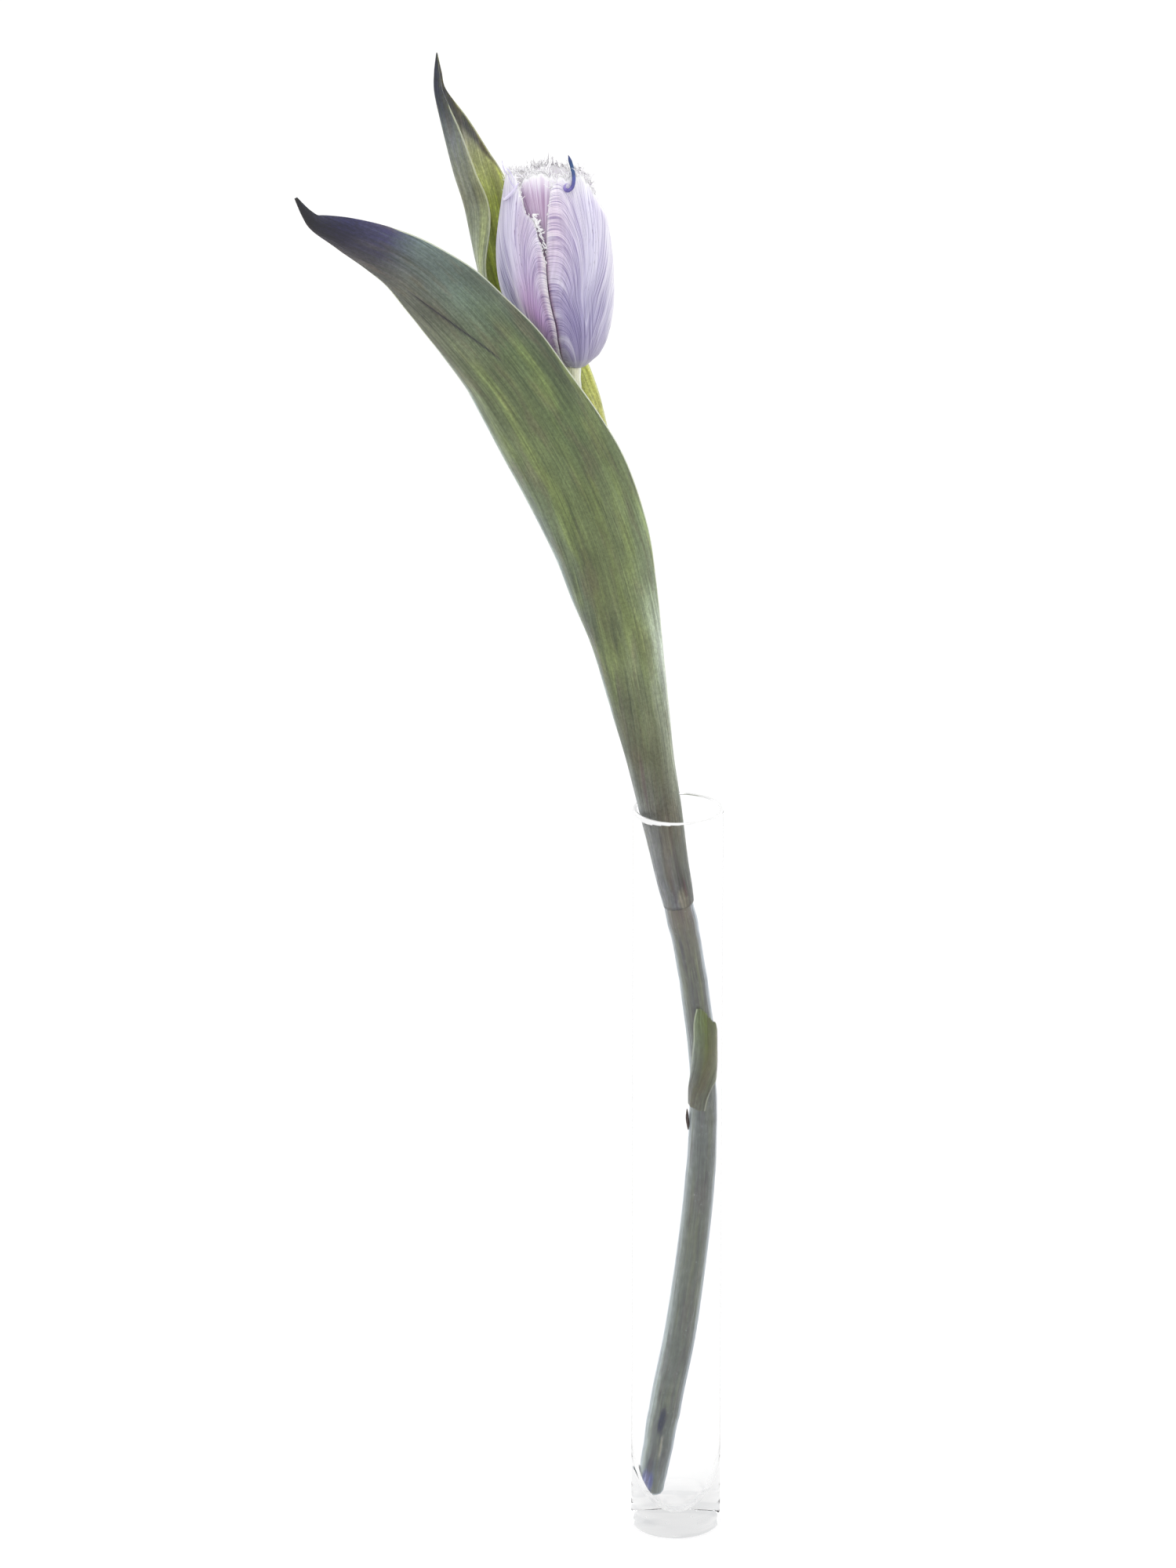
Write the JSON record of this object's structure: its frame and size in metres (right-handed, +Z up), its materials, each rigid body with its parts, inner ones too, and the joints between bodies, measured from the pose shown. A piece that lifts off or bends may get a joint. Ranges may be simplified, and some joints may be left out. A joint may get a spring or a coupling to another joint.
{
  "type": "tulip in a glass vase",
  "caption": "Closed fringed tulip on its stem with long keeled leaves, standing in a tall, narrow, straight clear-glass vase with a thick base.",
  "frame": {"origin": "centre of the vase's flat underside, which rests on the table", "axes": "+Z up along the vase's axis; the flower leans to -X; the side meant to be seen is -Y"},
  "size_m": [0.1379, 0.0543, 0.5115],
  "materials": {
    "glass": "gloss",
    "stem": "satin",
    "leaf": "satin",
    "outer_petal": "satin",
    "inner_petal": "satin",
    "pistil": "satin",
    "stamen": "matte"
  },
  "bodies": {
    "root": {"vase": "glass", "stem": "stem", "lower_leaf_stub": "leaf", "front_leaf": "leaf", "back_leaf": "leaf", "outer_petal_left": "outer_petal", "outer_petal_right": "outer_petal", "outer_petal_back": "outer_petal", "inner_petal_front": "inner_petal", "inner_petal_right": "inner_petal", "inner_petal_left": "inner_petal", "pistil": "pistil", "stamen_1": "stamen", "stamen_2": "stamen", "stamen_3": "stamen", "stamen_4": "stamen", "stamen_5": "stamen", "stamen_6": "stamen"}
  },
  "joints": []
}
